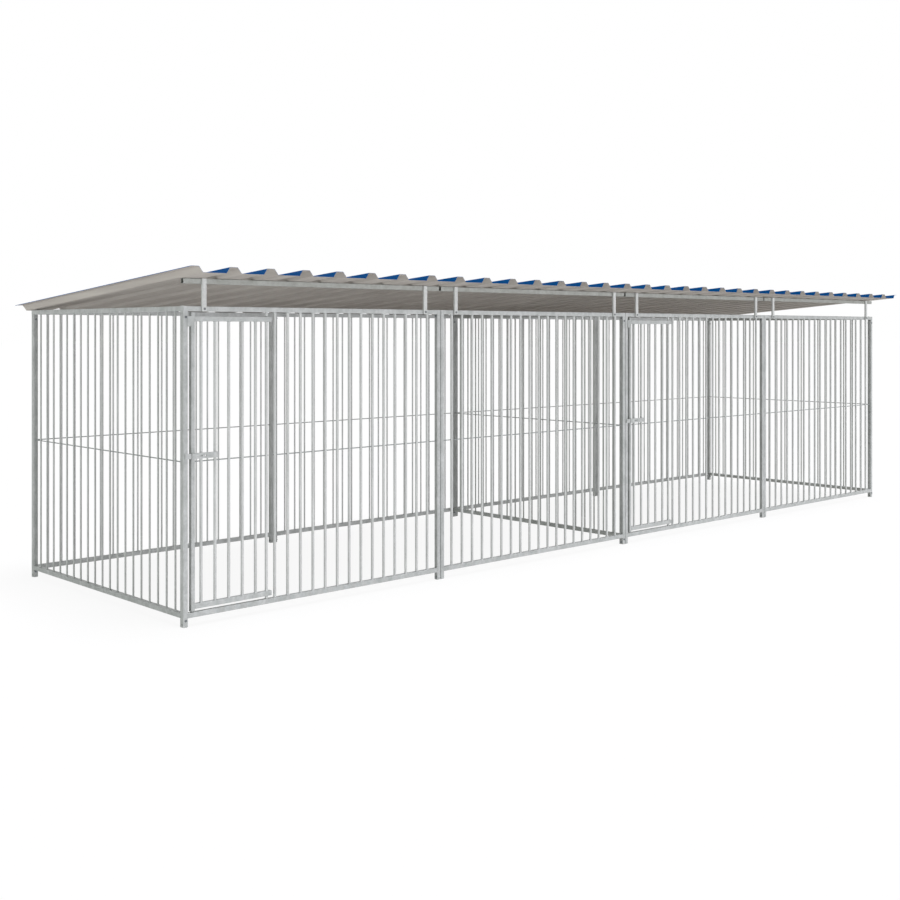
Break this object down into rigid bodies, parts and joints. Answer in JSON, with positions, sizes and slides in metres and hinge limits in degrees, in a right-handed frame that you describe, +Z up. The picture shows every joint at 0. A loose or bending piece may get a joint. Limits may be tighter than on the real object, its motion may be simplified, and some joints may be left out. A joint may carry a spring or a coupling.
{
  "type": "outdoor dog kennel run",
  "caption": "Double outdoor dog run of galvanised bar panels with inward hinged doors, sliding latches, a partition and a pitched trapezoidal sheet roof.",
  "frame": {"origin": "middle of the box on the ground", "axes": "+X along the front from left to right, +Y from the door side to the rear, +Z up"},
  "size_m": [8.142, 2.28, 2.0586],
  "materials": {
    "galvanised_tube": "hot-dip galvanised square tube, dull spangle",
    "galvanised_bar": "hot-dip galvanised round tube, smooth",
    "roof_sheet": "coil-coated steel, blue above and taupe grey below",
    "zinc_fastener": "zinc-plated steel"
  },
  "bodies": {
    "run": {"front_panel_1_frame": "galvanised_tube", "front_panel_2_frame": "galvanised_tube", "front_panel_3_frame": "galvanised_tube", "front_panel_4_frame": "galvanised_tube", "rear_panel_1_frame": "galvanised_tube", "rear_panel_2_frame": "galvanised_tube", "rear_panel_3_frame": "galvanised_tube", "rear_panel_4_frame": "galvanised_tube", "left_side_frame": "galvanised_tube", "right_side_frame": "galvanised_tube", "partition_frame": "galvanised_tube", "front_panel_1_bars": "galvanised_bar", "front_panel_2_bars": "galvanised_bar", "front_panel_3_bars": "galvanised_bar", "front_panel_4_bars": "galvanised_bar", "rear_panel_1_bars": "galvanised_bar", "rear_panel_2_bars": "galvanised_bar", "rear_panel_3_bars": "galvanised_bar", "rear_panel_4_bars": "galvanised_bar", "left_side_bars": "galvanised_bar", "right_side_bars": "galvanised_bar", "partition_bars": "galvanised_bar", "tie_rods": "galvanised_bar", "latch_keeper_1": "galvanised_tube", "latch_keeper_2": "galvanised_tube", "door_stop_1": "galvanised_tube", "door_stop_2": "galvanised_tube", "purlin_1": "galvanised_tube", "purlin_2": "galvanised_tube", "purlin_3": "galvanised_tube", "purlin_4": "galvanised_tube", "roof_uprights": "galvanised_bar", "roof_sheet_1": "roof_sheet", "roof_sheet_2": "roof_sheet", "roof_sheet_3": "roof_sheet", "roof_sheet_4": "roof_sheet", "roof_sheet_5": "roof_sheet", "roof_sheet_6": "roof_sheet", "roof_sheet_7": "roof_sheet", "roof_sheet_8": "roof_sheet", "panel_bolts": "zinc_fastener", "panel_nuts": "zinc_fastener", "panel_spacers": "zinc_fastener", "corner_bolts": "zinc_fastener", "corner_nuts": "zinc_fastener", "upright_bolts": "zinc_fastener", "upright_nuts": "zinc_fastener", "roof_screws": "zinc_fastener"},
    "door_1": {"door_1_frame": "galvanised_tube", "door_1_bars": "galvanised_bar", "door_1_hinge_bar": "galvanised_bar", "door_1_tie_rod": "galvanised_bar", "latch_plate_1": "galvanised_tube"},
    "door_2": {"door_2_frame": "galvanised_tube", "door_2_bars": "galvanised_bar", "door_2_hinge_bar": "galvanised_bar", "door_2_tie_rod": "galvanised_bar", "latch_plate_2": "galvanised_tube"},
    "latch_bolt_1": {"latch_bolt_1": "galvanised_bar"},
    "latch_bolt_2": {"latch_bolt_2": "galvanised_bar"}
  },
  "joints": [
    {"name": "door_1_hinge", "type": "hinge", "parent": "run", "child": "door_1", "pos_m": [-3.3925, -0.875, 0.92], "axis": [0, 0, -1], "range_deg": [0, 110]},
    {"name": "latch_bolt_1_slide", "type": "slide", "parent": "door_1", "child": "latch_bolt_1", "axis": [-1, 0, 0], "range_m": [0, 0.04]},
    {"name": "door_2_hinge", "type": "hinge", "parent": "run", "child": "door_2", "pos_m": [0.6155, -0.875, 0.92], "axis": [0, 0, -1], "range_deg": [0, 110]},
    {"name": "latch_bolt_2_slide", "type": "slide", "parent": "door_2", "child": "latch_bolt_2", "axis": [-1, 0, 0], "range_m": [0, 0.04]}
  ]
}
